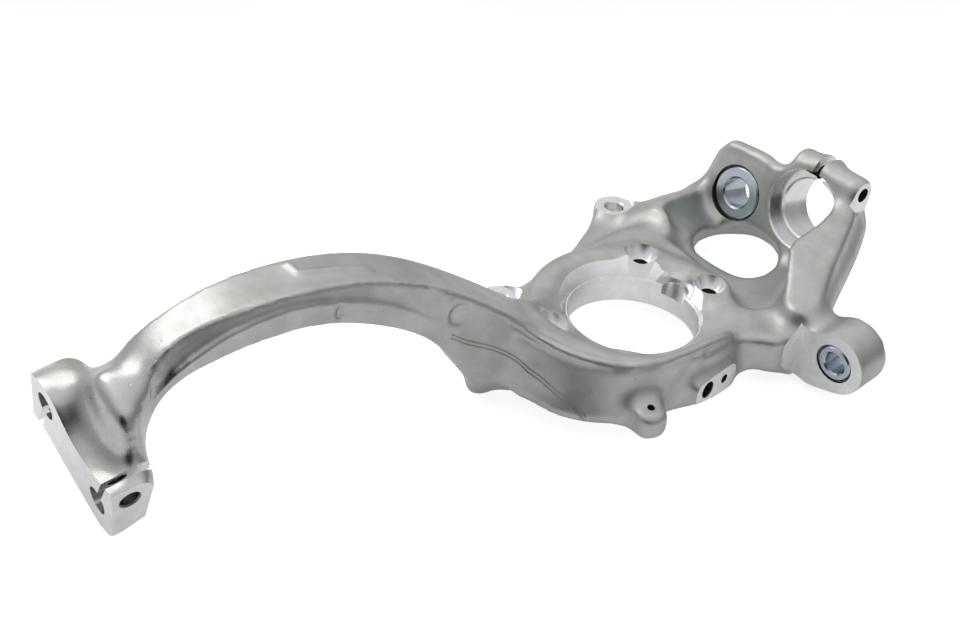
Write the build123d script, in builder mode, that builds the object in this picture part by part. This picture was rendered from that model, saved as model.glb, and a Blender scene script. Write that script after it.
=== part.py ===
from build123d import *
from math import cos, radians, sin, tan
import os

# Steering knuckle with a swan-neck arm: one forged and machined aluminium body and two pressed-in steel
# sleeves. Millimetres. The origin is on the hub bore's axis, in the outboard flange face. +Z points
# inboard along the wheel axis, -X runs along the swan-neck arm towards the upper joints.

# Main sizes: each outline below is given in shares of two of them
arm_reach = 410.0
arm_rise = 120.5
wall_reach = 115.0
wall_offset = 85.0
caliper_offset = 132.5
joint_reach = 147.0
joint_offset = 84.0
eye_reach = 98.5
eye_offset = 101.5

# Hub ring
hub_bore_r = 46.0
hub_step_r = 53.0
hub_step_z = 20.0
ring_foot_r = 82.0
ring_height = 30.0
ring_draft = 14.0
ring_edge_r = 6.0
dish_rim_z = 25.0
dish_slope = 33.0
hub_bolt_circle_r = 64.5
hub_bolt_angles = [52.0, 0.0, 179.0, 232.0]
hub_bolt_hole_r = 6.25
hub_bolt_seat_r = 11.0
hub_bolt_seat_z = 20.0
hub_bolt_seat_depth = 8.0
notch_angle = 17.0
notch_r = 10.0
notch_reach = 57.0
notch_z = 13.0
scoop_r = 16.0
scoop_reach = 59.0
scoop_z = 20.0

# Wall round the near side of the hub, leaning in from its foot to its ridge
wall_height = 45.0
wall_end_height = 28.0
wall_edge_r = 5.0

# Swan-neck arm
arm_width = 44.0
channel_depth = 7.0
rib_height = 1.4
rib_width = 6.0

# Split head for the two upper ball pins
head_centre = (-arm_reach, 0.6, 0.224 * arm_rise)
head_normal = (-0.983, -0.080, -0.164)
head_along = (0.127, -0.944, -0.303)
head_half_length = 51.5
head_half_height = 34.0
head_depth = 26.0
shoulder_depth = 33.0
shoulder_thickness = 14.0
slot_reach = 52.0
pin_bore_r = 9.2
pin_spacing_along = 65.5
pin_spacing_across = 14.4
slot_width = 4.6
slot_lean = 16.0
pinch_bolt_offset = 11.8
pinch_bolt_depth = 12.0
pinch_bolt_r = 5.5
pinch_thread_r = 4.25
pinch_thread_length = 22.0

# Brake caliper bosses
caliper_boss_r = 15.5
caliper_hole_r = 7.0
caliper_face_z = 15.0
caliper_bosses = [(0.490 * joint_reach, caliper_offset), (-0.500 * joint_reach, 0.449 * caliper_offset)]
saddle_height = 27.0
mound_shoulder_height = 20.0
mound_height = 40.0

# Web between the hub and the lower joints, with its window
web_thickness = 12.0
window_corner_r = 5.0
window_rim = 6.0

# Wall across the lower end, which carries the far joint sleeve and the split clamp
joint_height = 38.0
joint_normal = (-0.955, -0.200, 0.210)
joint_wall_reach = 62.0
joint_wall_height = 44.0
joint_wall_thickness = 13.0
far_boss_r = 28.0
far_boss_length = 28.0
far_sleeve_r = 20.0
far_sleeve_hole_r = 11.3
far_sleeve_length = 28.0
sleeve_edge = 1.2

# Split clamp
clamp_step = 1.4
clamp_centre = (58.6, 14.3)
clamp_bore_r = 22.65
clamp_barrel_r = 36.0
clamp_barrel_front = 18.0
clamp_barrel_back_r = 30.5
clamp_counterbore_r = 30.0
clamp_counterbore_depth = 8.0
clamp_length = 30.0
clamp_slot_width = 6.0
clamp_bolt_height = 28.6
clamp_bolt_depth = 12.5
clamp_bolt_r = 5.5
clamp_seat_r = 14.0
clamp_ear_r = 12.0
clamp_ear_near = 36.0
clamp_ear_far = 24.0

# Near eye
eye_height = 18.0
eye_normal = (-0.965, -0.250, -0.080)
eye_r = 24.0
eye_length = 31.0
neck_height = 28.0
neck_drop = 9.0
near_sleeve_r = 13.3
near_sleeve_hole_r = 8.0
near_sleeve_length = 29.0

# Small drilled boss, sensor pad and the stub under the arm's root
small_boss_centre = (-0.424 * wall_reach, -1.106 * wall_offset)
small_boss_r = 12.0
small_boss_height = 17.0
small_boss_hole_r = 2.6
sensor_face = (0.043 * wall_reach, -1.0 * wall_offset, 12.0)
sensor_normal = (0.316, -0.949, 0)
sensor_pad_length = 44.0
sensor_pad_width = 15.0
sensor_pad_depth = 22.0
sensor_hole_r = 6.0
sensor_screw_r = 3.4
sensor_screw_gap = 19.0
stub_centre = (-0.288 * arm_reach, 6.0)
stub_r = 9.0
stub_drop = 14.0

# Room left above a face that is cut flat
clear = 60.0


def sized(shares, along, across):
    """Points of an outline that is given in shares of two main sizes."""
    return [(share_x * along, share_y * across) for share_x, share_y in shares]


def upright_plane(origin, normal):
    """Plane with the given normal whose y axis leans as little as it can from +Z."""
    up = Vector(0, 0, 1) - Vector(*normal) * normal[2]
    return Plane(origin=origin, x_dir=up.cross(Vector(*normal)), z_dir=normal)


head_plane = Plane(origin=head_centre, x_dir=head_along, z_dir=head_normal)
joint_plane = upright_plane((joint_reach, joint_offset, joint_height), joint_normal)
clamp_plane = joint_plane.offset(-clamp_step)
clamp_centre_plane = Plane(origin=clamp_plane.from_local_coords(clamp_centre), x_dir=joint_plane.x_dir,
                           z_dir=joint_plane.z_dir)
clamp_bolt_end = clamp_centre_plane.from_local_coords((clamp_ear_near, clamp_bolt_height, -clamp_bolt_depth))
clamp_bolt_plane = Plane(origin=clamp_bolt_end, z_dir=clamp_centre_plane.x_dir)
eye_plane = upright_plane((eye_reach, -eye_offset, eye_height), eye_normal)
sensor_plane = upright_plane(sensor_face, sensor_normal)

# Hub ring, before its bores
with BuildPart() as ring:
    with BuildSketch():
        Circle(ring_foot_r)
    extrude(amount=ring_height, taper=ring_draft)
    fillet(ring.edges().group_by(Axis.Z)[-1], ring_edge_r)

# Near wall, which falls away at its right end
wall_foot = [(-1.0, -0.129), (-0.939, -0.412), (-0.870, -0.671), (-0.722, -0.871), (-0.530, -0.988),
             (-0.217, -1.0), (-0.052, -0.965), (0.200, -0.915), (0.391, -0.753)]
wall_ridge = [(-0.878, 0.106), (-0.835, -0.094), (-0.791, -0.282), (-0.687, -0.671), (-0.470, -0.930),
              (-0.287, -0.965), (-0.104, -0.940), (0.200, -0.850), (0.391, -0.700)]
wall_inside = [(0.261, -0.353), (-0.522, 0.353)]
with BuildPart() as near_wall:
    for height, shares in ((0, wall_foot), (wall_height, wall_ridge)):
        with BuildSketch(Plane.XY.offset(height)):
            with BuildLine():
                outer = Spline(sized(shares, wall_reach, wall_offset))
                Polyline(outer @ 1, *sized(wall_inside, wall_reach, wall_offset), outer @ 0)
            make_face()
    loft(ruled=True)
    fillet(near_wall.edges().group_by(Axis.Z)[-1].filter_by(GeomType.BSPLINE), wall_edge_r)
    with BuildSketch(Plane.XZ.offset(-clear)):
        with BuildLine():
            Polyline((0.17 * wall_reach, wall_height), (0.43 * wall_reach, wall_end_height),
                     (wall_reach, wall_end_height), (wall_reach, wall_height + clear),
                     (0.17 * wall_reach, wall_height + clear), close=True)
        make_face()
    extrude(amount=2 * wall_offset + clear, mode=Mode.SUBTRACT)

# Swan-neck arm, outlined from the side
arm_top = [(-0.941, 0.166), (-0.934, 0.432), (-0.910, 0.680), (-0.841, 0.871), (-0.732, 0.975), (-0.622, 1.0),
           (-0.520, 0.942), (-0.427, 0.813), (-0.341, 0.647), (-0.256, 0.456), (-0.210, 0.349)]
arm_bottom = [(-0.312, 0), (-0.337, 0.083), (-0.371, 0.249), (-0.429, 0.481), (-0.517, 0.656),
              (-0.617, 0.759), (-0.732, 0.747), (-0.834, 0.639), (-0.883, 0.481), (-0.905, 0.299), (-0.912, 0.166)]
with BuildPart() as arm:
    with BuildSketch(Plane.XZ):
        with BuildLine():
            top = Spline(sized(arm_top, arm_reach, arm_rise))
            bottom = Spline(sized(arm_bottom, arm_reach, arm_rise))
            Polyline(top @ 1, (-0.210 * arm_reach, 0), bottom @ 0)
            Line(bottom @ 1, top @ 0)
        make_face()
    extrude(amount=arm_width / 2, both=True)

# Recess along each side of the arm
recess_top = [(-0.890, 0.664), (-0.849, 0.813), (-0.744, 0.925), (-0.639, 0.950), (-0.532, 0.888),
              (-0.439, 0.763), (-0.390, 0.664)]
recess_bottom = [(-0.390, 0.515), (-0.446, 0.631), (-0.527, 0.776), (-0.637, 0.871), (-0.732, 0.855),
                 (-0.817, 0.772), (-0.868, 0.631)]
with BuildPart() as recesses:
    for side in (1, -1):
        with BuildSketch(Plane.XZ.offset(side * arm_width / 2)):
            with BuildLine():
                high = Spline(sized(recess_top, arm_reach, arm_rise))
                low = Spline(sized(recess_bottom, arm_reach, arm_rise))
                Line(high @ 1, low @ 0)
                Line(low @ 1, high @ 0)
            make_face()
        extrude(amount=-side * channel_depth)

# Raised rib on the arm's crest, an L in plan
rib_path = [(-0.646, 0.032), (-0.641, 0), (-0.527, -0.012)]
with BuildPart() as rib:
    with BuildSketch(Plane.XY.offset(0.9 * arm_rise)):
        with BuildLine() as rib_line:
            Polyline(*sized(rib_path, arm_reach, arm_reach))
        trace(line_width=rib_width)
    extrude(amount=0.2 * arm_rise)
    add(arm.part.moved(Location((0, 0, rib_height))), mode=Mode.INTERSECT)

# Split head: its plate, then the shoulders that run back from it into the arm
head_top = [(-1.010, 0.471), (-0.874, 0.676), (-0.583, 0.824), (-0.369, 0.765), (-0.097, 0.471),
            (0.233, 0.412), (0.583, 0.500), (0.971, 0.735)]
head_foot = [(1.0, -0.588), (0.854, -1.0), (0.155, -0.912), (-0.194, -0.853), (-0.777, -0.706),
             (-1.010, -0.882)]
with BuildPart() as head:
    with BuildSketch(head_plane):
        with BuildLine():
            upper = Spline(sized(head_top, head_half_length, head_half_height))
            Polyline(upper @ 1, *sized(head_foot, head_half_length, head_half_height), upper @ 0)
        make_face()
    extrude(amount=-head_depth)

head_side_plane = Plane(origin=head_plane.origin, x_dir=head_plane.z_dir, z_dir=head_plane.x_dir)
shoulder_face = [(-0.360, 1.280), (-0.560, 0.960), (-0.816, 0.620), (-0.816, -0.294), (0.699, -0.294),
                 (0.816, 0.647), (0.621, 1.176), (0.427, 1.600)]
shoulder_side = [(-0.060, -0.412), (-0.346, -0.500), (-0.577, -0.735), (-0.692, -1.118), (-0.769, -1.588),
                 (-1.385, -1.588), (-1.385, 0.294), (-0.077, 0.294)]
with BuildPart() as shoulders:
    with BuildSketch(head_plane.offset(-shoulder_depth)):
        with BuildLine():
            Polyline(*sized(shoulder_face, head_half_length, head_half_height), close=True)
        make_face()
    extrude(amount=shoulder_thickness)
    with BuildSketch(head_side_plane.offset(0.47 * head_half_length)):
        with BuildLine():
            Polyline(*sized(shoulder_side, head_depth, head_half_height), close=True)
        make_face()
    extrude(amount=-0.77 * head_half_length)

# Slope under the back corner of the head's near end
head_corner = [(-0.231, 1.176), (-0.538, 0.882), (-0.846, 0.426), (-1.0, -0.471), (-1.923, -0.471),
               (-1.923, 1.176)]
with BuildPart() as head_slope:
    with BuildSketch(head_side_plane.offset(0.77 * head_half_length)):
        with BuildLine():
            Polyline(*sized(head_corner, head_depth, head_half_height), close=True)
        make_face()
    extrude(amount=0.27 * head_half_length)

window_outline = sized([(0.673, 0.513), (0.816, 0.626), (0.959, 0.634), (1.116, 0.558), (1.136, 0.423),
                        (1.095, 0.287), (0.993, 0.181), (0.857, 0.128), (0.748, 0.158), (0.701, 0.317)],
                       joint_reach, caliper_offset)

# Web plate between the hub, the caliper boss, the joint wall and the near eye
web_outline = [(0.272, 0.830), (0.490, 1.072), (0.735, 0.966), (0.939, 0.981), (1.088, 0.845), (1.211, 0.453),
               (1.252, 0.106), (1.020, -0.226), (0.762, -0.468), (0.503, -0.543), (0.435, -0.528),
               (0.313, -0.445), (0.136, -0.453)]
with BuildPart() as web:
    with BuildSketch():
        with BuildLine():
            Polyline(*sized(web_outline, joint_reach, caliper_offset), close=True)
        make_face()
    extrude(amount=web_thickness)

# Saddle that rises from the web beside the far caliper boss
saddle_foot = [(-0.354, 0.528), (-0.204, 0.574), (-0.027, 0.679), (0.190, 0.808), (0.354, 0.860),
               (0.571, 0.740), (0.639, 0.438), (0.600, -0.015), (0.401, 0), (-0.197, 0.302)]
saddle_top = [(-0.313, 0.415), (-0.143, 0.491), (0.061, 0.566), (0.259, 0.634), (0.395, 0.664),
              (0.476, 0.619), (0.510, 0.347), (0.531, 0.040), (0.401, 0), (-0.197, 0.302)]
with BuildPart() as saddle:
    for height, shares in ((0, saddle_foot), (saddle_height, saddle_top)):
        with BuildSketch(Plane.XY.offset(height)):
            with BuildLine():
                Polyline(*sized(shares, joint_reach, caliper_offset), close=True)
            make_face()
    loft(ruled=True)

# Mound that runs from the saddle to the joint wall, behind the window
mound_foot = [(0.395, 0.891), (0.490, 1.042), (0.735, 1.011), (0.952, 1.011), (1.034, 0.981), (1.034, 0.468),
              (0.816, 0.483), (0.544, 0.453)]
mound_shoulder = [(0.449, 0.815), (0.531, 0.921), (0.721, 0.951), (0.939, 0.966), (1.034, 0.921),
                  (1.034, 0.513), (0.816, 0.528), (0.531, 0.528)]
mound_crest = [(0.571, 0.664), (0.626, 0.725), (0.707, 0.732), (0.816, 0.740), (1.007, 0.740), (1.007, 0.634),
               (0.816, 0.619), (0.585, 0.604)]
with BuildPart() as mound:
    for height, shares in ((0, mound_foot), (mound_shoulder_height, mound_shoulder),
                           (mound_height, mound_crest)):
        with BuildSketch(Plane.XY.offset(height)):
            with BuildLine():
                Polyline(*sized(shares, joint_reach, caliper_offset), close=True)
            make_face()
    loft(ruled=True)
    with BuildSketch():
        with BuildLine():
            Polyline(*window_outline, close=True)
        make_face()
    extrude(amount=mound_height, mode=Mode.SUBTRACT)

# Plate from the near wall's end past the left caliper boss to the far one
caliper_plate = [(-0.497, 0.566), (-0.333, 0.543), (-0.136, 0.634), (0.082, 0.747), (0.293, 0.928),
                 (0.408, 1.057), (0.408, 0.453), (-0.408, 0.302)]
with BuildPart() as bosses:
    with BuildSketch():
        with Locations(*caliper_bosses):
            Circle(caliper_boss_r)
    extrude(amount=caliper_face_z)
    with BuildSketch():
        with BuildLine():
            Polyline(*sized(caliper_plate, joint_reach, caliper_offset), close=True)
        make_face()
    extrude(amount=web_thickness)
    with BuildSketch():
        with Locations(small_boss_centre):
            Circle(small_boss_r)
    extrude(amount=small_boss_height)
    with BuildSketch(Plane.XY.offset(-stub_drop)):
        with Locations(stub_centre):
            Circle(stub_r)
    extrude(amount=stub_drop + web_thickness / 2)
    with BuildSketch(sensor_plane):
        with Locations((sensor_screw_gap / 2, 0)):
            SlotOverall(sensor_pad_length, sensor_pad_width)
    extrude(amount=-sensor_pad_depth)

# Joint wall with the boss of the far sleeve
wall_face = [(-0.806, -0.780), (-0.758, -0.409), (-0.565, -0.068), (-0.484, 0.500), (-0.339, 0.784),
             (0.194, 0.841), (0.452, 0.750), (0.677, 1.0), (0.968, 1.0), (1.0, -0.727), (0.898, -0.614),
             (0.694, -0.500), (0.500, -0.477), (0.194, -0.636), (0.081, -0.780)]
with BuildPart() as joint_wall:
    with BuildSketch(joint_plane):
        with BuildLine():
            Polyline(*sized(wall_face, joint_wall_reach, joint_wall_height), close=True)
        make_face()
    extrude(amount=-joint_wall_thickness)
    with BuildSketch(joint_plane):
        Circle(far_boss_r)
    extrude(amount=-far_boss_length)

# Clamp barrel with its two ears round the bolt
with BuildPart() as clamp:
    with BuildSketch(clamp_centre_plane):
        Circle(clamp_barrel_r)
    extrude(amount=-clamp_barrel_front)
    with BuildSketch(clamp_centre_plane):
        Circle(clamp_barrel_back_r)
    extrude(amount=-(clamp_counterbore_depth + clamp_length))
    with BuildSketch(clamp_centre_plane.offset(clamp_ear_r - clamp_bolt_depth)):
        with Locations(((clamp_ear_near - clamp_ear_far) / 2, 0)):
            Rectangle(clamp_ear_near + clamp_ear_far, clamp_bolt_height, align=(Align.CENTER, Align.MIN))
    extrude(amount=-2 * clamp_ear_r)
    with BuildSketch(clamp_bolt_plane):
        Circle(clamp_ear_r)
    extrude(amount=-(clamp_ear_near + clamp_ear_far))

# Beam from the clamp down to the near eye, and its flank that runs down to the web
beam_along = (0.78, 0.62, 0.1)
beam_across = (0.62, -0.78, 0)
beam_sections = [((1.361, 0.270, 41), 19, 22, -1.8), ((1.118, -0.113, 37), 19, 21, -1.7),
                 ((0.866, -0.455, 32), 18, 21, -1.4), ((0.653, -0.738, 24), 19, 20, -0.7)]
with BuildPart() as beam:
    for (share_x, share_y, height), half_width, half_height, flank_share in beam_sections:
        centre = (share_x * joint_reach, share_y * joint_offset, height)
        with BuildSketch(Plane(origin=centre, x_dir=beam_across, z_dir=beam_along)):
            Ellipse(half_width, half_height)
    loft()
with BuildPart() as beam_flank:
    for (share_x, share_y, height), half_width, half_height, flank_share in beam_sections:
        centre = (share_x * joint_reach, share_y * joint_offset, height)
        with BuildSketch(Plane(origin=centre, x_dir=beam_across, z_dir=beam_along)):
            with BuildLine():
                Polyline((-0.6 * half_width, 0.1 * half_height), (0.6 * half_width, 0.3 * half_height),
                         (0.6 * half_width, 6 - height), (flank_share * half_width, 6 - height), close=True)
            make_face()
    loft(ruled=True)

# Near eye with the neck that joins it to the hub ring
neck_top = [(0.406, -0.197), (0.467, -0.581), (0.680, -0.729), (0.792, -0.828), (0.914, -0.966),
            (1.157, -0.966), (1.259, -0.749), (1.015, -0.394)]
neck_foot = [(0.670, -0.571), (0.853, -0.700), (0.934, -0.847), (1.137, -0.966), (1.259, -0.749),
             (1.015, -0.443)]
eye_face = [(-1.208, 0.250), (-0.750, 0.667), (-0.250, 0.958), (0.708, -0.708), (0.375, -0.938),
            (-0.375, -1.125), (-0.917, -1.250)]
with BuildPart() as eye:
    with BuildSketch(eye_plane):
        Circle(eye_r)
    extrude(amount=-eye_length)
    with BuildSketch():
        with BuildLine():
            Polyline(*sized(neck_top, eye_reach, eye_offset), close=True)
        make_face()
    extrude(amount=neck_height)
    with BuildSketch(Plane.XY.offset(-neck_drop)):
        with BuildLine():
            Polyline(*sized(neck_foot, eye_reach, eye_offset), close=True)
        make_face()
    extrude(amount=2 * neck_drop)
    with BuildSketch(eye_plane):
        with BuildLine():
            Polyline(*sized(eye_face, eye_r, eye_r), close=True)
        make_face()
    extrude(amount=-eye_length)

# Hub bore, its step and the dish above it
dish_rise = clear * tan(radians(dish_slope))
with BuildPart() as hub_cut:
    with BuildSketch(Plane.XZ):
        with BuildLine():
            Polyline((0, -1), (hub_bore_r, -1), (hub_bore_r, hub_step_z), (hub_step_r, hub_step_z),
                     (hub_step_r, dish_rim_z), (hub_step_r + clear, dish_rim_z + dish_rise),
                     (0, dish_rim_z + dish_rise), close=True)
        make_face()
    revolve(axis=Axis.Z)

# Seat and hole of one hub bolt
with BuildPart() as hub_bolt_cut:
    with BuildSketch(Plane.XZ):
        with BuildLine():
            Polyline((0, -1), (hub_bolt_hole_r, -1), (hub_bolt_hole_r, hub_bolt_seat_z),
                     (hub_bolt_seat_r, hub_bolt_seat_z + hub_bolt_seat_depth), (hub_bolt_seat_r + 1, clear),
                     (0, clear), close=True)
        make_face()
    revolve(axis=Axis.Z)

# Notch and scoop in the bore's rim, between the two hub bolts beside the web
with BuildPart() as notch_cut:
    for radius, reach, floor_z in ((notch_r, notch_reach, notch_z), (scoop_r, scoop_reach, scoop_z)):
        with BuildSketch(Plane.XY.offset(floor_z)):
            with Locations(((reach - radius) * cos(radians(notch_angle)),
                            (reach - radius) * sin(radians(notch_angle)))):
                Circle(radius)
        extrude(amount=ring_height)

# Window through the web and whatever stands low above it
with BuildPart() as window_cut:
    with BuildSketch(Plane.XY.offset(-1)):
        with BuildLine():
            FilletPolyline(*window_outline, radius=window_corner_r, close=True)
        make_face()
    extrude(amount=web_thickness + window_rim + 1)

# Ball pin bores of the head with their pinch slots and bolts, alike at both ends
with BuildPart() as pin_cut:
    for end in (1, -1):
        pin_side = Plane(origin=head_plane.origin, x_dir=head_plane.x_dir * end, z_dir=head_plane.z_dir)
        pin_x = pin_spacing_along / 2
        pin_y = -pin_spacing_across / 2
        with BuildSketch(pin_side.offset(1)):
            with Locations((pin_x, pin_y)):
                Circle(pin_bore_r)
            with Locations(Location((pin_x, pin_y), -slot_lean)):
                Rectangle(slot_width, slot_reach, align=(Align.CENTER, Align.MIN))
        extrude(amount=-(shoulder_depth + 2))
        bolt_start = pin_side.from_local_coords((head_half_length + 1, pinch_bolt_offset, -pinch_bolt_depth))
        bolt_plane = Plane(origin=bolt_start, z_dir=pin_side.x_dir)
        with BuildSketch(bolt_plane):
            Circle(pinch_bolt_r)
        extrude(amount=-(head_half_length + 1 - pin_x))
        with BuildSketch(bolt_plane):
            Circle(pinch_thread_r)
        extrude(amount=-(head_half_length + 1 - pin_x + pinch_thread_length))

# Seat of the far sleeve, and the clamp's bore, counterbore, slot and bolt hole
with BuildPart() as joint_cut:
    with BuildSketch(joint_plane.offset(1)):
        Circle(far_sleeve_r)
    extrude(amount=-(far_boss_length + 12))
    with BuildSketch(joint_plane.offset(clear)):
        Circle(far_boss_r)
    extrude(amount=-clear)
    with BuildSketch(clamp_centre_plane.offset(clear)):
        Circle(clamp_counterbore_r)
    extrude(amount=-(clear + clamp_counterbore_depth))
    with BuildSketch(clamp_centre_plane):
        Circle(clamp_bore_r)
        Rectangle(clamp_slot_width, clear, align=(Align.CENTER, Align.MIN))
    extrude(amount=-clear)
    with BuildSketch(clamp_centre_plane.offset(-(clamp_counterbore_depth + clamp_length))):
        Circle(clamp_barrel_back_r)
    extrude(amount=-clear)
    with BuildSketch(clamp_bolt_plane.offset(1)):
        Circle(clamp_bolt_r)
    extrude(amount=-(clamp_ear_near + clamp_ear_far + 2))
    with BuildSketch(clamp_bolt_plane):
        Circle(clamp_seat_r)
    extrude(amount=clear)

# Seat of the near sleeve and the faced end of its eye
with BuildPart() as eye_cut:
    with BuildSketch(eye_plane):
        Circle(near_sleeve_r)
    extrude(amount=-(eye_length + 1))
    with BuildSketch(eye_plane):
        Rectangle(2.6 * eye_r, 2.5 * eye_r)
    extrude(amount=clear / 2)

# Holes and faces of the caliper bosses, the small boss and the sensor pad
with BuildPart() as small_cut:
    with BuildSketch(Plane.XY.offset(caliper_face_z)):
        with Locations(*caliper_bosses):
            Circle(caliper_hole_r)
    extrude(amount=-clear)
    with BuildSketch(Plane.XY.offset(caliper_face_z)):
        with Locations(*caliper_bosses):
            Circle(caliper_boss_r + 2)
    extrude(amount=clear)
    with BuildSketch(Plane.XY.offset(small_boss_height + 1)):
        with Locations(small_boss_centre):
            Circle(small_boss_hole_r)
    extrude(amount=-12)
    with BuildSketch(sensor_plane):
        Circle(sensor_hole_r)
        with Locations((sensor_screw_gap, 0)):
            Circle(sensor_screw_r)
    extrude(amount=-20)
    with BuildSketch(sensor_plane):
        Rectangle(2 * sensor_pad_length, 2.6 * sensor_pad_width)
    extrude(amount=clear / 2)

with BuildPart() as knuckle_body:
    for block in (ring, near_wall, arm, rib, head, shoulders, web, saddle, mound, joint_wall, clamp, beam,
                  beam_flank, eye, bosses):
        add(block.part)
    for cutter in (recesses, head_slope, hub_cut, notch_cut, window_cut, pin_cut, joint_cut, eye_cut,
                   small_cut):
        add(cutter.part, mode=Mode.SUBTRACT)
    for angle in hub_bolt_angles:
        seat = Location((hub_bolt_circle_r * cos(radians(angle)), hub_bolt_circle_r * sin(radians(angle)), 0))
        add(hub_bolt_cut.part.moved(seat), mode=Mode.SUBTRACT)
knuckle_body.part.label = "knuckle_body"

with BuildPart() as far_joint_sleeve:
    with BuildSketch(joint_plane):
        Circle(far_sleeve_r)
        Circle(far_sleeve_hole_r, mode=Mode.SUBTRACT)
    extrude(amount=-far_sleeve_length)
    chamfer(far_joint_sleeve.edges().filter_by(GeomType.CIRCLE), sleeve_edge)
far_joint_sleeve.part.label = "far_joint_sleeve"

with BuildPart() as near_joint_sleeve:
    with BuildSketch(eye_plane):
        Circle(near_sleeve_r)
        Circle(near_sleeve_hole_r, mode=Mode.SUBTRACT)
    extrude(amount=-near_sleeve_length)
    chamfer(near_joint_sleeve.edges().filter_by(GeomType.CIRCLE), sleeve_edge)
near_joint_sleeve.part.label = "near_joint_sleeve"

os.makedirs("parts", exist_ok=True)
export_step(knuckle_body.part, "parts/knuckle_body.step")
export_step(far_joint_sleeve.part, "parts/far_joint_sleeve.step")
export_step(near_joint_sleeve.part, "parts/near_joint_sleeve.step")
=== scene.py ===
import math

import bmesh
import bpy
import numpy as np
from mathutils import Matrix, Vector


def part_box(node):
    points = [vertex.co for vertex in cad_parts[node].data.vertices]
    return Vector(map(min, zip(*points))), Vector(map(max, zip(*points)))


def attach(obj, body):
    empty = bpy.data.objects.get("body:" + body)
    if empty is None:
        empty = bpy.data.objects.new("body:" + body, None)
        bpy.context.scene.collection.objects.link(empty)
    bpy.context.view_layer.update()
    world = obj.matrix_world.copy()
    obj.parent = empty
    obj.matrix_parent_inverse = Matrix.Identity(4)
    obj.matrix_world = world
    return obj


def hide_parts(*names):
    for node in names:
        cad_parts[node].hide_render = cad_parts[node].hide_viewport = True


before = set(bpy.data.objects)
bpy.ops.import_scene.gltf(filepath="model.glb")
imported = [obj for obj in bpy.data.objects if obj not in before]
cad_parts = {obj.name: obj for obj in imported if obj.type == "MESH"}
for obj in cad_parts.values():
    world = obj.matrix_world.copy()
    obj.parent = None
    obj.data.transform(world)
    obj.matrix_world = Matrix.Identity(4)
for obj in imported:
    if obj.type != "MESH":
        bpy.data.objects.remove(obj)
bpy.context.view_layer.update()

MM = 0.001

# Places in the body's list of materials
CAST = 0
MACHINED = 1
# Hole walls, whose material is dark with painted shade
DRILLED = 2

# Planes of the machined features, in millimetres, as in the part's source
HEAD_ORIGIN = (-409.7, 0.6, 27.0)
HEAD_ALONG = (0.127, -0.944, -0.303)
HEAD_NORMAL = (-0.983, -0.080, -0.164)
JOINT_ORIGIN = (147.0, 84.0, 38.0)
JOINT_NORMAL = (-0.955, -0.200, 0.210)
EYE_ORIGIN = (98.5, -101.5, 18.0)
EYE_NORMAL = (-0.965, -0.250, -0.080)
SENSOR_ORIGIN = (4.9, -85.0, 12.0)
SENSOR_NORMAL = (0.316, -0.949, 0.0)
CLAMP_PLACE = (58.6, 14.3, -1.4)
CLAMP_BOLT_PLACE = (36.0, 28.6, -12.5)

# A wall is a list of (radius, z) points on its feature's plane, and starts and ends clear of the body.
# A blank, pad or face is a circle or an (x, y, x, y) rectangle there.

# Hub ring: bore with a step above it, dish, bolt pockets, and the notch and scoop in its rim
HUB_FACE_R = 90.0
HUB_FLANGE_R = 82.0
HUB_BLANK_R = 54.5
HUB_BORE_R = 46.0
HUB_WALL = [
    (47, -8), (47, 0), (HUB_BORE_R, 1), (HUB_BORE_R, 19.4), (46.8, 20.2), (47.6, 20.2), (60, 34),
    (60, 70),
]
BOLT_CIRCLE_R = 64.5
BOLT_TURNS = (52, 0, 179, 232)
BOLT_HOLE_R = 6.25
BOLT_SEAT_Z = 20.5
POCKET_BLANK_R = 16.0
POCKET_BLANK_TOP = 30.5
POCKET_WALL = [(BOLT_HOLE_R, 20), (BOLT_HOLE_R, 21), (7.2, 21.6), (12.8, 32), (13.8, 38), (13.8, 70)]
NOTCH_TURN = 17
NOTCH_R = 10.0
NOTCH_REACH = 47.0
NOTCH_FLOOR = 13.0
SCOOP_R = 16.0
SCOOP_REACH = 43.0
SCOOP_FLOOR = 20.0

# Bosses: two for the brake caliper, the small drilled one and the lumps under the arm and the beam
CALIPER_BOSSES = [(72.0, 132.5), (-73.5, 59.5)]
CALIPER_BOSS_R = 15.7
CALIPER_BOSS_TOP = 15.0
CALIPER_BLANK_R = 15.5
CALIPER_BLANK_TOP = 19.0
CALIPER_WALL = [(7, -2), (7, 14), (8, 15), (8, 40)]
SMALL_BOSS = (-48.8, -94.0)
SMALL_BOSS_R = 12.0
SMALL_BOSS_NECK_R = 9.0
SMALL_BOSS_WALL = [(2.6, 40), (2.6, 6)]
DRILL_TIP = 1.0
FOOT_LUG = (-123.0, -1.0)
FOOT_LUG_R = 9.5
BEAM_FOOT = (97.0, -61.0)
BEAM_FOOT_R = 12.0

# Split head: outline, ball pin bores with their slots and pinch bolts, and the corner off its near ear
HEAD_HALF = 51.5
HEAD_OUTLINE = [
    (-52, -30), (-52, 16), (-45, 23), (-37, 26.5), (-30, 28), (-24, 28), (-19, 26), (-12, 21), (-5, 16),
    (3, 13.8), (12, 14), (21, 15), (30, 17), (40, 21), (HEAD_HALF, 25), (HEAD_HALF, -20), (44, -34),
    (8, -31), (-10, -29), (-40, -24),
]
HEAD_ENDS = (1, -1)
EAR_BLANK = (44, -18, 58, 24)
PIN_BLANK = (20, -20, 50, 14)
HEAD_FACE = (-70, -60, 70, 60)
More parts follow.
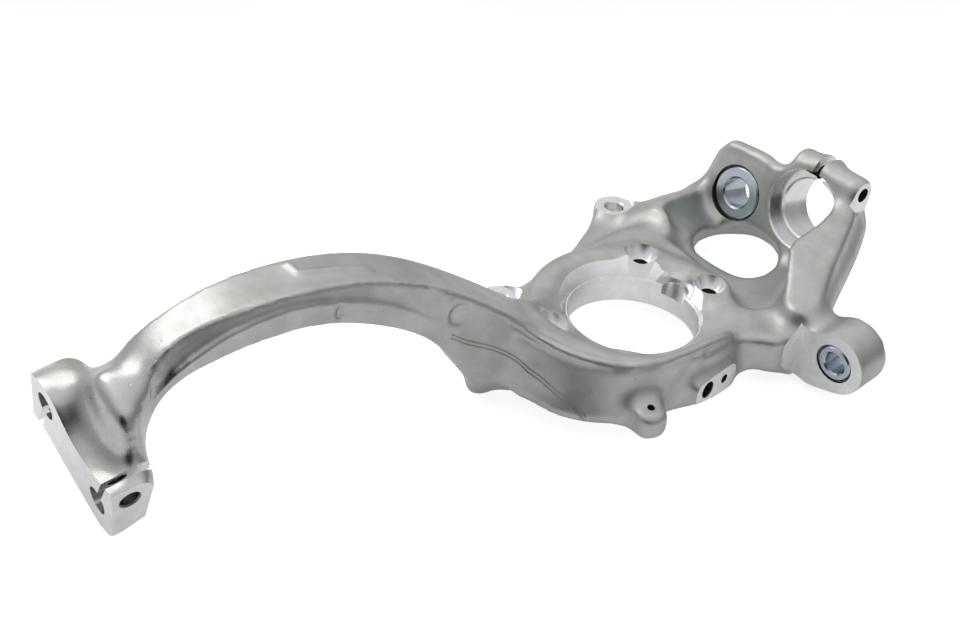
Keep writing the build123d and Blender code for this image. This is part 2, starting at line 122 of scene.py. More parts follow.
# Ball pin bores, each with a slot that runs out of it: upwards at the near end, downwards at the far one
PIN_PLACE = (32.75, -7.2)
PIN_R = 9.2
PIN_FLOOR = -45.0
PIN_TOP = 5.0
SLOT_HALF = 2.3
SLOT_LENGTH = 52.0
SLOT_TURN = -16
PINCH_PLACE = (HEAD_HALF, 11.8, -12)
PINCH_WALL = [(7.4, 2), (7.4, 0), (6.4, -1), (6.4, -19), (4.3, -20), (4.3, -40)]
PINCH_TIP = 2.0
# Section of what is cut off the near ear, (y, z), and its middle
EAR_CORNER = [
    (45, -27), (37, -26.5), (17.6, -28), (-16, -22), (-22.5, -4), (-26, 2), (-50, -2), (-50, -60),
    (45, -60),
]
EAR_CENTER = (5, -10)
# Each (distance along the head, how far the corner's outline is pushed out there)
EAR_CUTS = [(37, 9), (HEAD_HALF, 0.3), (60, -1)]

# Lower joints and clamp
JOINT_BLANK_R = 25.0
FAR_SLEEVE_WALL = [(21.7, 14), (21.5, 0), (21.2, -2.6), (20.05, -3), (20.05, -60)]
NEAR_SLEEVE_WALL = [(14.7, 5), (14.5, -1.8), (13.35, -2.2), (13.35, -50)]
EYE_OUTLINE = [
    (-29, 6), (-18, 16), (-10, 21.8), (0, 24), (10, 21.8), (18, 16), (23, 7), (24, -3), (22, -10),
    (17, -17), (9, -22.5), (-9, -27), (-22, -30),
]
EYE_FACE = (-31, -50, 45, 26)
CLAMP_R = 31.0
CLAMP_WALL = [
    (CLAMP_R, 60), (CLAMP_R, 0), (30, -1), (30, -8), (24, -8), (22.65, -9.4), (22.65, -37), (23.6, -38),
    (23.6, -60),
]
CLAMP_EARS = (-8, 20, 8, 41)
CLAMP_SLOT_HALF = 3.0
CLAMP_BOLT_BLANK_R = 8.0
CLAMP_BOLT_WALL = [(5.5, 2), (5.5, -80)]
CLAMP_SEAT_WALL = [(15, 40), (15, 0)]
# Top of the beam below the clamp: its inner and outer edge
CLAMP_BEAM = [
    ((166, 1, 68), (189, -1, 60)), ((148, -22, 62.5), (171, -18, 54)),
    ((122, -38, 56), (149, -35.5, 50.5)), ((107, -50, 48), (127, -50, 47)),
]
CLAMP_BEAM_FOOT = 36.0

# Sensor pad
SENSOR_PAD = (-12, -7, 31, 7)
SENSOR_FACE = (-40, -20, 40, 20)
SENSOR_WALL = [(6.4, 2), (6.4, 0), (6, -0.4), (6, -20)]
SENSOR_SCREW_X = 19.0
SENSOR_SCREW_WALL = [(3.4, 2), (3.4, -14)]

# Arm from the side: (x, z) of its recess, and its parting line as (x, z, ledge, slope of the flank above)
ARM_HALF = 22.0
ARM_RECESS = [
    (-366, 78), (-350, 99), (-305, 113), (-262, 116), (-218, 109), (-180, 94), (-158, 81), (-158, 61),
    (-183, 74), (-216, 92), (-261, 103), (-300, 101), (-335, 91), (-358, 74),
]
ARM_PARTING = [
    (-370, 60, -2.0, 0.0), (-365, 67.5, 0.8, 0.20), (-359, 76.5, 2.2, 0.24), (-352, 84.5, 3.0, 0.28),
    (-343, 91, 3.2, 0.32), (-332, 96.9, 3.0, 0.32), (-318, 103.8, 2.5, 0.30), (-299, 108.1, 1.8, 0.28),
    (-279, 110.9, 1.5, 0.28), (-263, 110.3, 1.3, 0.26), (-243, 107.3, 1.2, 0.24), (-228, 103.3, 1.2, 0.22),
    (-210, 96.3, 1.1, 0.18), (-191, 85.3, 1.0, 0.12), (-171, 70.4, 0.6, 0.06), (-156, 58.0, -2.0, 0.0),
]
# Slope of the flank below, and how far the flank tools reach out, up and down
LOWER_LEAN = 0.10
FLANK_OUT = 60.0
FLANK_RISE = 30.0
FLANK_FALL = 40.0
# Near lower edge of the arm's foot, (x, z), and (y, z) of what is cut off there
FOOT_EDGE = [(-182, 64), (-165, 49.5), (-154, 39.4), (-132, 19.5), (-120, 10), (-107, 0)]
FOOT_SECTION = [(-22.5, 0), (-60, 0), (-60, -60), (-4, -60), (-4, -22)]
# Near wall between the arm's foot and the hub, in plan at its foot and at its top
SWEEP_FOOT = [(-126, -20), (-113, -27), (-105, -42), (-98, -57), (-84, -70), (-70, -60), (-100, 0)]
SWEEP_TOP = [(-128, -20.5), (-110, -24), (-99, -31), (-91, -41), (-83, -52), (-70, -45), (-100, 0)]
SWEEP_HEIGHT = 46.0
# Ridge from the arm's near upper edge on round the near wall
RIDGE = [
    (-300, -18.5, 114), (-281, -18.5, 116.3), (-262, -18.5, 116.3), (-243, -18.5, 113.7),
    (-222, -18.5, 110.5), (-203, -18.5, 106.5), (-184, -18.5, 100), (-165, -18.5, 91),
    (-150, -18.5, 82), (-136, -18.8, 73), (-121, -20, 62.5), (-109, -23, 53.5), (-100, -29, 47),
    (-92.5, -37, 43.5), (-86, -47, 42), (-78, -57, 41.5), (-67, -67.5, 41.5), (-54, -75.5, 41.5),
    (-33, -78.5, 41.5), (-12, -76.5, 41.3), (8, -72.5, 40.3), (24, -67.5, 37.5), (36, -62, 33),
]
RIDGE_R = 3.5
# L-shaped rib on the arm's crest, in plan, and the height from which rays look for the crest
RIB = [(-265, 13), (-263, 0), (-216, -5)]
RIB_WIDTH = 6.0
RIB_HEIGHT = 1.7
RIB_TOP = 121.9
ABOVE_BODY = 200.0
# Fine parting seams on the near wall: the upper one, and how far below it each lies
SEAM = [
    (-162, -22, 61), (-151.8, -22, 54.3), (-131, -22, 43.8), (-115.3, -22, 33.7), (-101.1, -27, 23.5),
    (-98.2, -36, 21.2), (-95.3, -48.6, 17.5), (-89, -62, 12.8), (-83, -71.5, 5.9),
]
SEAM_DROPS = (0, 3)
SEAM_R = 0.6
# Shallow round mark and small groove on the arm's near side
CRESCENT_PLACE = (-157.0, -22.0, 75.0)
CRESCENT_NORMAL = (-0.10, -0.99, 0.06)
CRESCENT_R = 9.0
CRESCENT_DEPTH = 1.6
GROOVE = (-247, 92, -242, 105)
GROOVE_FLOOR = 18.4

# Fillets of the forging: the filled shape swells, shrinks past its size and comes back, in small steps
VOXEL = 1.8
FILLET_STEPS = (3, 3, 3, -3, -3, -3, -3, 3)
ROUNDS_BEFORE = 6
ROUNDS_PER_STEP = 4
ROUNDS_AFTER = 20
FINE_VOXEL = 1.6
FINE_ROUNDS = 8
SHARP_ANGLE = 38
# Extra softening of the neck between the arm and the head
NECK = (-378.0, -4.0, 62.0)
NECK_REACH = 58.0
NECK_ROUNDS = 70
# Top of the hub ring: where it begins and fades out, how far it is lowered, and its tilt as (rise, run)
RING_R = 80.0
RING_FADE = 18.0
RING_FOOT = 10.0
RING_RISE = 6.0
RING_DROP = 2.0
RING_TILT = (4.0, 56.0)
# Crest of the arm, lowered to make room for its rib
CREST_X = -255.0
CREST_LENGTH = 45.0
CREST_FOOT = 96.0
CREST_RISE = 14.0
CREST_DROP = 1.0

# Stage, in metres: floor, light and camera
FLOOR_R = 0.55
FLOOR_PLACE = (-0.1, 0.05)
FLOOR_GAP = 0.001
FLOOR_COLOR = (0.85, 0.85, 0.85, 1)
# White of the floor inside and at its rim, where it changes, as shares of its radius, and in reflections
FLOOR_WHITE = 0.74
RIM_WHITE = 1.0
FADE_START = 0.72
FADE_END = 0.98
REFLECTED_WHITE = 0.16
SKY_GAP = (-0.68, -0.65, 0.10)
KEY_PLACE = (-0.62, 0.95, 1.05)
KEY_TARGET = (-0.2, 0, 0.05)
KEY_SIZE = (0.9, 0.9)
KEY_POWER = 3.3
LENS = 75
SENSOR_WIDTH = 36
CAMERA_PLACE = (-0.733, -0.898, 0.7985)
CAMERA_RIGHT = (0.860, -0.500, 0.0957)
CAMERA_UP = (0.2193, 0.5333, 0.8169)
CAMERA_BACK = (-0.46, -0.682, 0.5687)


# Planes

def plane(origin, normal, x_dir=None):
    """A matrix whose local Z is the plane's normal and whose local Y points up where x_dir isn't given."""
    z = Vector(normal).normalized()
    if x_dir is None:
        x = Vector((0, 0, 1)).cross(z).normalized()
    else:
        x = Vector(x_dir)
        x = (x - z * x.dot(z)).normalized()
    y = z.cross(x)
    matrix = Matrix((x, y, z)).transposed().to_4x4()
    matrix.translation = Vector(origin)
    return matrix


def shifted(matrix, x=0.0, y=0.0, z=0.0):
    return matrix @ Matrix.Translation((x, y, z))


def spun(matrix, degrees, axis="Z"):
    return matrix @ Matrix.Rotation(math.radians(degrees), 4, axis)


def head_plane(end):
    """The head's plane, seen from its near or its far end."""
    return HEAD if end == 1 else spun(HEAD, 180)


WORLD = Matrix.Identity(4)
SIDE = plane((0, 0, 0), (0, -1, 0), (1, 0, 0))
HEAD = plane(HEAD_ORIGIN, HEAD_NORMAL, HEAD_ALONG)
JOINT = plane(JOINT_ORIGIN, JOINT_NORMAL)
EYE = plane(EYE_ORIGIN, EYE_NORMAL)
SENSOR = plane(SENSOR_ORIGIN, SENSOR_NORMAL)
CLAMP = shifted(JOINT, *CLAMP_PLACE)
CLAMP_BOLT = spun(shifted(CLAMP, *CLAMP_BOLT_PLACE), 90, "Y")


# Materials

def node_material(name):
    material = bpy.data.materials.new(name)
    material.use_nodes = True
    return material, material.node_tree.nodes, material.node_tree.links


def noise(nodes, links, coords, scale, detail=3.0, roughness=0.5):
    texture = nodes.new("ShaderNodeTexNoise")
    texture.inputs["Scale"].default_value = scale
    texture.inputs["Detail"].default_value = detail
    texture.inputs["Roughness"].default_value = roughness
    links.new(coords, texture.inputs["Vector"])
    return texture.outputs["Fac"]


def mapped(nodes, links, value, low, high, to_low, to_high):
    """A value's range from low to high, carried over to another range and clamped there."""
    spread = nodes.new("ShaderNodeMapRange")
    for key, number in (("From Min", low), ("From Max", high), ("To Min", to_low), ("To Max", to_high)):
        spread.inputs[key].default_value = number
    links.new(value, spread.inputs["Value"])
    return spread.outputs["Result"]


def combined(nodes, links, first, second, operation):
    """Two values added, multiplied or reduced to the larger one."""
    math_node = nodes.new("ShaderNodeMath")
    math_node.operation = operation
    links.new(first, math_node.inputs[0])
    links.new(second, math_node.inputs[1])
    return math_node.outputs[0]


def colored(nodes, links, shader, shade, dark, light):
    """Gives a shader a colour that goes from dark to light with a noise."""
    mix = nodes.new("ShaderNodeMix")
    mix.data_type = "RGBA"
    mix.inputs["A"].default_value = (*dark, 1)
    mix.inputs["B"].default_value = (*light, 1)
    links.new(mapped(nodes, links, shade, 0.35, 0.65, 0, 1), mix.inputs["Factor"])
    links.new(mix.outputs["Result"], shader.inputs["Base Color"])


def roughened(nodes, links, shade, smooth, rough):
    """A roughness that goes from smooth to rough with a noise."""
    return mapped(nodes, links, shade, 0.3, 0.7, smooth, rough)


def bumped(nodes, links, heights, shader):
    """Bumps, each (height, strength, depth in metres), one over the other, on a shader."""
    normal = None
    for height, strength, depth in heights:
        bump = nodes.new("ShaderNodeBump")
        bump.inputs["Strength"].default_value = strength
        bump.inputs["Distance"].default_value = depth
        links.new(height, bump.inputs["Height"])
        if normal is not None:
            links.new(normal, bump.inputs["Normal"])
        normal = bump.outputs["Normal"]
    links.new(normal, shader.inputs["Normal"])


def metal(name):
    """A bare metal: its material, nodes and links, its shader and the object's own coordinates."""
    material, nodes, links = node_material(name)
    shader = nodes["Principled BSDF"]
    shader.inputs["Metallic"].default_value = 1.0
    coords = nodes.new("ShaderNodeTexCoord").outputs["Object"]
    return material, nodes, links, shader, coords


def cast_aluminium():
    """Blasted forging skin: mottled, with a fine grain and a few small pits, smoother towards the head."""
    material, nodes, links, shader, coords = metal("cast_aluminium")
    mottle = noise(nodes, links, coords, scale=45, detail=5, roughness=0.6)
    patches = noise(nodes, links, coords, scale=160, detail=4)
    grain = noise(nodes, links, coords, scale=1100, detail=2)
    colored(nodes, links, shader, mottle, dark=(0.455, 0.47, 0.445), light=(0.555, 0.57, 0.545))
    along = nodes.new("ShaderNodeSeparateXYZ")
    links.new(coords, along.inputs[0])
    blasted = roughened(nodes, links, patches, smooth=0.38, rough=0.46)
    handled = mapped(nodes, links, along.outputs["X"], low=-0.36, high=-0.24, to_low=-0.15, to_high=0)
    links.new(combined(nodes, links, blasted, handled, "ADD"), shader.inputs["Roughness"])
    cells = nodes.new("ShaderNodeTexVoronoi")
    cells.inputs["Scale"].default_value = 62
    links.new(coords, cells.inputs["Vector"])
    pits = mapped(nodes, links, cells.outputs["Distance"], low=0.025, high=0.055, to_low=0, to_high=1)
    bumped(nodes, links, [(patches, 0.10, 0.0006), (grain, 0.35, 0.00014), (pits, 0.6, 0.0004)], shader)
    return material


def machined_aluminium():
    """Milled and turned surfaces: bright, with fine tool marks."""
    material, nodes, links, shader, coords = metal("machined_aluminium")
    shade = noise(nodes, links, coords, scale=90)
    colored(nodes, links, shader, shade, dark=(0.78, 0.785, 0.79), light=(0.88, 0.885, 0.89))
    links.new(roughened(nodes, links, shade, smooth=0.20, rough=0.30), shader.inputs["Roughness"])
    marks = nodes.new("ShaderNodeTexWave")
    marks.bands_direction = "Z"
    for key, number in (("Scale", 330), ("Distortion", 1.5), ("Detail", 2.0)):
        marks.inputs[key].default_value = number
    links.new(coords, marks.inputs["Vector"])
    bumped(nodes, links, [(marks.outputs["Fac"], 0.08, 0.00008)], shader)
    return material


def drilled_wall_painted_shade():
    """Walls of threaded and drilled holes, rough, with painted shade: their dark colour stands in for the
    shade deep inside them.
    """
    material, nodes, links, shader, coords = metal("drilled_wall_painted_shade")
    shade = noise(nodes, links, coords, scale=400)
    # Painted shade: these dark colours stand in for the shade inside the holes
    colored(nodes, links, shader, shade, dark=(0.13, 0.135, 0.115), light=(0.24, 0.245, 0.215))
    links.new(roughened(nodes, links, shade, smooth=0.38, rough=0.48), shader.inputs["Roughness"])
    bumped(nodes, links, [(shade, 0.2, 0.0002)], shader)
    return material


def zinc_steel():
    """Turned steel with a blue zinc coat."""
    material, nodes, links, shader, coords = metal("zinc_steel")
    shade = noise(nodes, links, coords, scale=120)
    grain = noise(nodes, links, coords, scale=900, detail=2)
    colored(nodes, links, shader, shade, dark=(0.46, 0.51, 0.56), light=(0.56, 0.62, 0.68))
    links.new(roughened(nodes, links, shade, smooth=0.18, rough=0.28), shader.inputs["Roughness"])
    bumped(nodes, links, [(grain, 0.08, 0.00006)], shader)
    return material


MATERIALS = [cast_aluminium(), machined_aluminium(), drilled_wall_painted_shade()]


# Shapes that fill a bmesh, in millimetres

def circle(radius, x=0.0, y=0.0, count=64):
    turns = [2 * math.pi * i / count for i in range(count)]
    return [(x + radius * math.cos(t), y + radius * math.sin(t)) for t in turns]


def rectangle(x0, y0, x1, y1):
    return [(x0, y0), (x1, y0), (x1, y1), (x0, y1)]


def polar(radius, degrees):
    return radius * math.cos(math.radians(degrees)), radius * math.sin(math.radians(degrees))


def finer(path, count):
    """A path with count points along each of its straight runs."""
    points = []
    for a, b in zip(path, path[1:]):
        points += [tuple(p + (q - p) * i / count for p, q in zip(a, b)) for i in range(count)]
    return points + [path[-1]]


def prism(bm, matrix, outline, low, high):
    """A prism over a closed outline of (x, y) points, from local z low to high."""
    under = [bm.verts.new(matrix @ Vector((x, y, low)) * MM) for x, y in outline]
    over = [bm.verts.new(matrix @ Vector((x, y, high)) * MM) for x, y in outline]
    count = len(outline)
    bm.faces.new(list(reversed(under)))
    bm.faces.new(over)
    for i in range(count):
        j = (i + 1) % count
        bm.faces.new((under[i], under[j], over[j], over[i]))


def lathe(bm, matrix, wall, count=96, tip=0.0):
    """A solid of revolution about local Z from its wall, closed flat or, at its end, by a drill's tip."""
    rings = []
    for radius, z in wall:
        corners = circle(radius, count=count)
        rings.append([bm.verts.new(matrix @ Vector((x, y, z)) * MM) for x, y in corners])
    first = bm.verts.new(matrix @ Vector((0, 0, wall[0][1])) * MM)
    last = bm.verts.new(matrix @ Vector((0, 0, wall[-1][1] - tip)) * MM)
    for i in range(count):
        j = (i + 1) % count
        bm.faces.new((first, rings[0][j], rings[0][i]))
        bm.faces.new((last, rings[-1][i], rings[-1][j]))
        for lower, upper in zip(rings, rings[1:]):
            bm.faces.new((lower[i], lower[j], upper[j], upper[i]))


def sections(bm, rows):
    """A closed skin through a row of cross-sections, each with the same number of (x, y, z) points."""
    rings = [[bm.verts.new(Vector(point) * MM) for point in row] for row in rows]
    count = len(rings[0])
    bm.faces.new(rings[0])
    bm.faces.new(list(reversed(rings[-1])))
    for first, second in zip(rings, rings[1:]):
        for i in range(count):
            j = (i + 1) % count
            bm.faces.new((first[i], second[i], second[j], first[j]))


def tube(bm, path, radius, count=10):
    """A round bar along a path of (x, y, z) points."""
    points = [Vector(point) for point in path]
    rows = []
    for i, point in enumerate(points):
        along = (points[min(i + 1, len(points) - 1)] - points[max(i - 1, 0)]).normalized()
        side = along.cross(Vector((0, 0, 1))).normalized()
        over = side.cross(along)
        rows.append([point + side * x + over * y for x, y in circle(radius, count=count)])
    sections(bm, rows)


# Work on whole meshes

def solid(build, material_index=MACHINED):
    """A closed mesh object from a function that fills a bmesh."""
    bm = bmesh.new()
    build(bm)
    bmesh.ops.recalc_face_normals(bm, faces=bm.faces)
    mesh = bpy.data.meshes.new("tool")
    bm.to_mesh(mesh)
    bm.free()
    obj = bpy.data.objects.new("tool", mesh)
    bpy.context.scene.collection.objects.link(obj)
    for material in MATERIALS:
        mesh.materials.append(material)
    mesh.polygons.foreach_set("material_index", [material_index] * len(mesh.polygons))
    return obj


def applied(obj):
    """Replaces an object's mesh by what its modifiers make of it."""
    graph = bpy.context.evaluated_depsgraph_get()
    graph.update()
    mesh = bpy.data.meshes.new_from_object(obj.evaluated_get(graph))
    old = obj.data
    obj.modifiers.clear()
    obj.data = mesh
    bpy.data.meshes.remove(old)


def remesh(obj, size):
    modifier = obj.modifiers.new("voxels", "REMESH")
    modifier.mode = "VOXEL"
    modifier.voxel_size = size * MM
    applied(obj)


def displace(obj, distance):
    modifier = obj.modifiers.new("offset", "DISPLACE")
    modifier.strength = distance * MM
    modifier.mid_level = 0.0
    applied(obj)


def joined(obj, tool, operation="UNION"):
    modifier = obj.modifiers.new("boolean", "BOOLEAN")
    modifier.operation = operation
    modifier.solver = "MANIFOLD"
    modifier.object = tool
    applied(obj)
    bpy.data.objects.remove(tool)


def cut(obj, tool):
    joined(obj, tool, "DIFFERENCE")


def points_of(mesh):
    """The mesh's corners, in metres, one in a row."""
    points = np.zeros(len(mesh.vertices) * 3)
    mesh.vertices.foreach_get("co", points)
    return points.reshape(-1, 3)


def moved_to(mesh, points):
    mesh.vertices.foreach_set("co", points.ravel())
    mesh.update()


def edge_ends(mesh):
    """The two ends of every edge, as numbers of corners."""
    edges = np.zeros(len(mesh.edges) * 2, np.int64)
    mesh.edges.foreach_get("vertices", edges)
    return edges.reshape(-1, 2).T


def pulled(points, ends, factor, rounds=1):
    """Moves every point by a share of the way to the middle of its neighbours, as often as rounds says."""
    count = len(points)
    a, b = ends
    degree = np.maximum(np.bincount(a, minlength=count) + np.bincount(b, minlength=count), 1)[:, None]
    for _ in range(rounds):
        total = np.zeros_like(points)
        for k in range(3):
            total[:, k] = np.bincount(a, points[b, k], count) + np.bincount(b, points[a, k], count)
        points = points + factor * (total / degree - points)
    return points


def relax(obj, rounds, pull=0.5, push=-0.52):
    """Smooths a mesh without shrinking it: each round pulls its corners together, then pushes them back."""
    points = points_of(obj.data)
    ends = edge_ends(obj.data)
    for _ in range(rounds):
        points = pulled(pulled(points, ends, pull), ends, push)
    moved_to(obj.data, points)


def soften(obj, rounds, center, reach, pull=0.6):
    """Rounds off a mesh inside a ball: fully within half its reach and less and less towards its rim."""
    points = points_of(obj.data)
    away = np.linalg.norm(points - np.array(center) * MM, axis=1) / (reach * MM)
    share = np.clip(2 - 2 * away, 0, 1)[:, None]
    moved_to(obj.data, pulled(points, edge_ends(obj.data), pull * share, rounds))


def settle(obj):
    """Tilts the hub ring's top, low in front and high behind, and lowers the arm's crest for its rib."""
    x, y, z = points_of(obj.data).T / MM
    ring = np.clip((RING_R - np.hypot(x, y)) / RING_FADE, 0, 1) * np.clip((z - RING_FOOT) / RING_RISE, 0, 1)
    crest = np.exp(-((x - CREST_X) / CREST_LENGTH) ** 2) * np.clip((z - CREST_FOOT) / CREST_RISE, 0, 1)
    rise, run = RING_TILT
    z = z + ring * (-RING_DROP + rise * y / run) - CREST_DROP * crest
    moved_to(obj.data, np.stack([x, y, z], 1) * MM)


# Body: blanks that fill the machined features of the CAD shape before it gets its fillets

def hub_blanks(bm):
    prism(bm, WORLD, circle(HUB_BLANK_R), low=1, high=25)
    prism(bm, WORLD, circle(HUB_FLANGE_R), low=-3, high=3)
    for x, y in HUB_BOLTS:
        prism(bm, WORLD, circle(POCKET_BLANK_R, x, y, count=24), low=0, high=POCKET_BLANK_TOP)


def caliper_blanks(bm):
    for x, y in CALIPER_BOSSES:
        prism(bm, WORLD, circle(CALIPER_BLANK_R, x, y, count=32), low=0, high=CALIPER_BLANK_TOP)


def head_blanks(bm):
    prism(bm, HEAD, HEAD_OUTLINE, low=-20, high=6)
    for end in HEAD_ENDS:
        prism(bm, head_plane(end), rectangle(*EAR_BLANK), low=-24, high=6)
        prism(bm, head_plane(end), rectangle(*PIN_BLANK), low=-34, high=0)


def clamp_blanks(bm):
    prism(bm, JOINT, circle(JOINT_BLANK_R), low=-28, high=-0.6)
    prism(bm, CLAMP, circle(CLAMP_R), low=-37, high=-1)
    prism(bm, CLAMP, rectangle(*CLAMP_EARS), low=-26, high=-5)
    prism(bm, CLAMP_BOLT, circle(CLAMP_BOLT_BLANK_R, count=32), low=-60, high=4)


def eye_blank(bm):
    prism(bm, EYE, EYE_OUTLINE, low=-30, high=5)


def sensor_blank(bm):
    prism(bm, SENSOR, rectangle(*SENSOR_PAD), low=-20, high=4)


def small_boss_blank(bm):
    prism(bm, WORLD, circle(SMALL_BOSS_R, *SMALL_BOSS, count=32), low=0, high=15)
    prism(bm, WORLD, circle(SMALL_BOSS_NECK_R, *SMALL_BOSS, count=32), low=10, high=19)


def lumps(bm):
    """The lug under the arm's foot and the foot of the beam."""
    prism(bm, WORLD, circle(FOOT_LUG_R, *FOOT_LUG, count=32), low=-8, high=20)
    prism(bm, WORLD, circle(BEAM_FOOT_R, *BEAM_FOOT, count=32), low=20, high=43)


def arm_blanks(bm):
    """The arm's recess and the sweep of the near wall from its foot to the hub."""
    prism(bm, SIDE, ARM_RECESS, low=-ARM_HALF, high=ARM_HALF)
    sections(bm, [[(x, y, 0) for x, y in SWEEP_FOOT], [(x, y, SWEEP_HEIGHT) for x, y in SWEEP_TOP]])


def beam_blank(bm):
    rows = []
    for inner, outer in CLAMP_BEAM:
        rows.append([inner, outer, (*outer[:2], CLAMP_BEAM_FOOT), (*inner[:2], CLAMP_BEAM_FOOT)])
    sections(bm, rows)


# Forged details: built on or cut away before the fine remesh

def ridge_build(bm):
    tube(bm, RIDGE, RIDGE_R)


def top_of_body(x, y):
    return body.ray_cast(Vector((x, y, ABOVE_BODY)) * MM, Vector((0, 0, -1)))[1].z / MM


def rib_build(bm):
    """An L in plan that stands a little proud of the arm's crest."""
    path = []
    for x, y in finer(RIB, count=6):
        path.append((x, y, min(top_of_body(x, y) + RIB_HEIGHT, RIB_TOP) - RIB_WIDTH / 2))
    tube(bm, path, RIB_WIDTH / 2)


def upper_flank_tool(side):
    """What lies outside the arm's flank above its parting line."""
    def build(bm):
        rows = []
        for x, z, ledge, slope in ARM_PARTING:
            near = ARM_HALF - ledge
            outer = side * FLANK_OUT
            top = z + FLANK_RISE
            inner = side * (near - slope * FLANK_RISE)
            rows.append([(x, side * near, z), (x, inner, top), (x, outer, top), (x, outer, z)])
        sections(bm, rows)
    return build


def lower_flank_tool(side):
    """What lies outside the arm's flank below its parting line."""
    def build(bm):
        rows = []
        for x, z, ledge, _ in ARM_PARTING:
            lean = LOWER_LEAN if ledge > 0 else -LOWER_LEAN
            outer = side * FLANK_OUT
            foot = z - FLANK_FALL
            inner = side * (ARM_HALF - lean * FLANK_FALL)
            rows.append([(x, side * ARM_HALF, z), (x, outer, z), (x, outer, foot), (x, inner, foot)])
        sections(bm, rows)
    return build


def foot_edge_tool(bm):
    sections(bm, [[(x, y, z + below) for y, below in FOOT_SECTION] for x, z in FOOT_EDGE])


def crescent_tool(bm):
    """A shallow round recess, deeper on its left."""
    mark = plane(CRESCENT_PLACE, CRESCENT_NORMAL, (1, 0, 0))
    prism(bm, mark, circle(CRESCENT_R, count=40), low=-CRESCENT_DEPTH, high=5)


def groove_tool(bm):
    prism(bm, SIDE, rectangle(*GROOVE), low=GROOVE_FLOOR, high=30)


def seam_build(drop):
    """One of the two fine raised lines that the forging's parting leaves on the near wall."""
    def build(bm):
        path = []
        for x, y, z in finer(SEAM, count=5):
            path.append(tuple(body.closest_point_on_mesh(Vector((x, y, z - drop)) * MM)[1] / MM))
        tube(bm, path, SEAM_R, count=6)
    return build


# Machined features: what the tools take away

def hub_tool(bm):
    lathe(bm, WORLD, HUB_WALL)


def hub_face_tool(bm):
    prism(bm, WORLD, circle(HUB_FACE_R), low=-12, high=0)


def notch_tool(bm):
    place = polar(NOTCH_REACH, NOTCH_TURN)
    prism(bm, WORLD, circle(NOTCH_R, *place, count=48), low=NOTCH_FLOOR, high=60)


def scoop_tool(bm):
    place = polar(SCOOP_REACH, NOTCH_TURN)
    prism(bm, WORLD, circle(SCOOP_R, *place, count=48), low=SCOOP_FLOOR, high=60)


def pocket_tool(x, y):
    def build(bm):
        lathe(bm, shifted(WORLD, x, y), POCKET_WALL, count=48)
    return build


def pocket_hole_tool(x, y):
    def build(bm):
        prism(bm, shifted(WORLD, x, y), circle(BOLT_HOLE_R, count=48), low=-2, high=BOLT_SEAT_Z)
    return build


def caliper_face_tool(x, y):
    def build(bm):
        prism(bm, shifted(WORLD, x, y), circle(CALIPER_BOSS_R, count=48), low=CALIPER_BOSS_TOP, high=40)
    return build


def caliper_hole_tool(x, y):
    def build(bm):
        lathe(bm, shifted(WORLD, x, y), CALIPER_WALL, count=48)
    return build


def small_boss_tool(bm):
    lathe(bm, shifted(WORLD, *SMALL_BOSS), SMALL_BOSS_WALL, count=32, tip=DRILL_TIP)


def head_face_tool(bm):
    prism(bm, HEAD, rectangle(*HEAD_FACE), low=0, high=30)


def head_end_tool(end):
    def build(bm):
        prism(bm, head_plane(end), rectangle(HEAD_HALF, -60, 80, 60), low=-60, high=40)
    return build


def ear_corner_tool(bm):
    """The corner off the near ear, with its outline pushed out from its middle where the cut flares."""
    center = Vector(EAR_CENTER)
    rows = []
    for x, out in EAR_CUTS:
        row = [Vector(point) + (Vector(point) - center).normalized() * out for point in EAR_CORNER]
        rows.append([HEAD @ Vector((x, y, z)) for y, z in row])
    sections(bm, rows)


def pin_tool(end):
    def build(bm):
        prism(bm, head_plane(end), circle(PIN_R, *PIN_PLACE, count=48), low=PIN_FLOOR, high=PIN_TOP)
    return build


def slot_tool(end):
    def build(bm):
        slot = spun(shifted(head_plane(end), *PIN_PLACE), SLOT_TURN)
        outline = rectangle(-SLOT_HALF, 0, SLOT_HALF, SLOT_LENGTH)
        prism(bm, slot, outline, low=PIN_FLOOR, high=PIN_TOP)
    return build


def pinch_tool(end):
    def build(bm):
        axis = spun(shifted(head_plane(end), *PINCH_PLACE), 90, "Y")
        lathe(bm, axis, PINCH_WALL, count=40, tip=PINCH_TIP)
    return build


def far_sleeve_tool(bm):
    lathe(bm, JOINT, FAR_SLEEVE_WALL)


def near_sleeve_tool(bm):
    lathe(bm, EYE, NEAR_SLEEVE_WALL, count=64)


def eye_face_tool(bm):
    prism(bm, EYE, rectangle(*EYE_FACE), low=0, high=30)


def clamp_tool(bm):
    lathe(bm, CLAMP, CLAMP_WALL)


def clamp_slot_tool(bm):
    prism(bm, CLAMP, rectangle(-CLAMP_SLOT_HALF, 0, CLAMP_SLOT_HALF, 60), low=-60, high=8)


def clamp_bolt_tool(bm):
    lathe(bm, CLAMP_BOLT, CLAMP_BOLT_WALL, count=40)


def clamp_seat_tool(bm):
    lathe(bm, CLAMP_BOLT, CLAMP_SEAT_WALL, count=64)


def sensor_face_tool(bm):
    prism(bm, SENSOR, rectangle(*SENSOR_FACE), low=0, high=30)


def sensor_hole_tool(bm):
    lathe(bm, SENSOR, SENSOR_WALL, count=40)


def sensor_screw_tool(bm):
    lathe(bm, shifted(SENSOR, SENSOR_SCREW_X), SENSOR_SCREW_WALL, count=32, tip=DRILL_TIP)


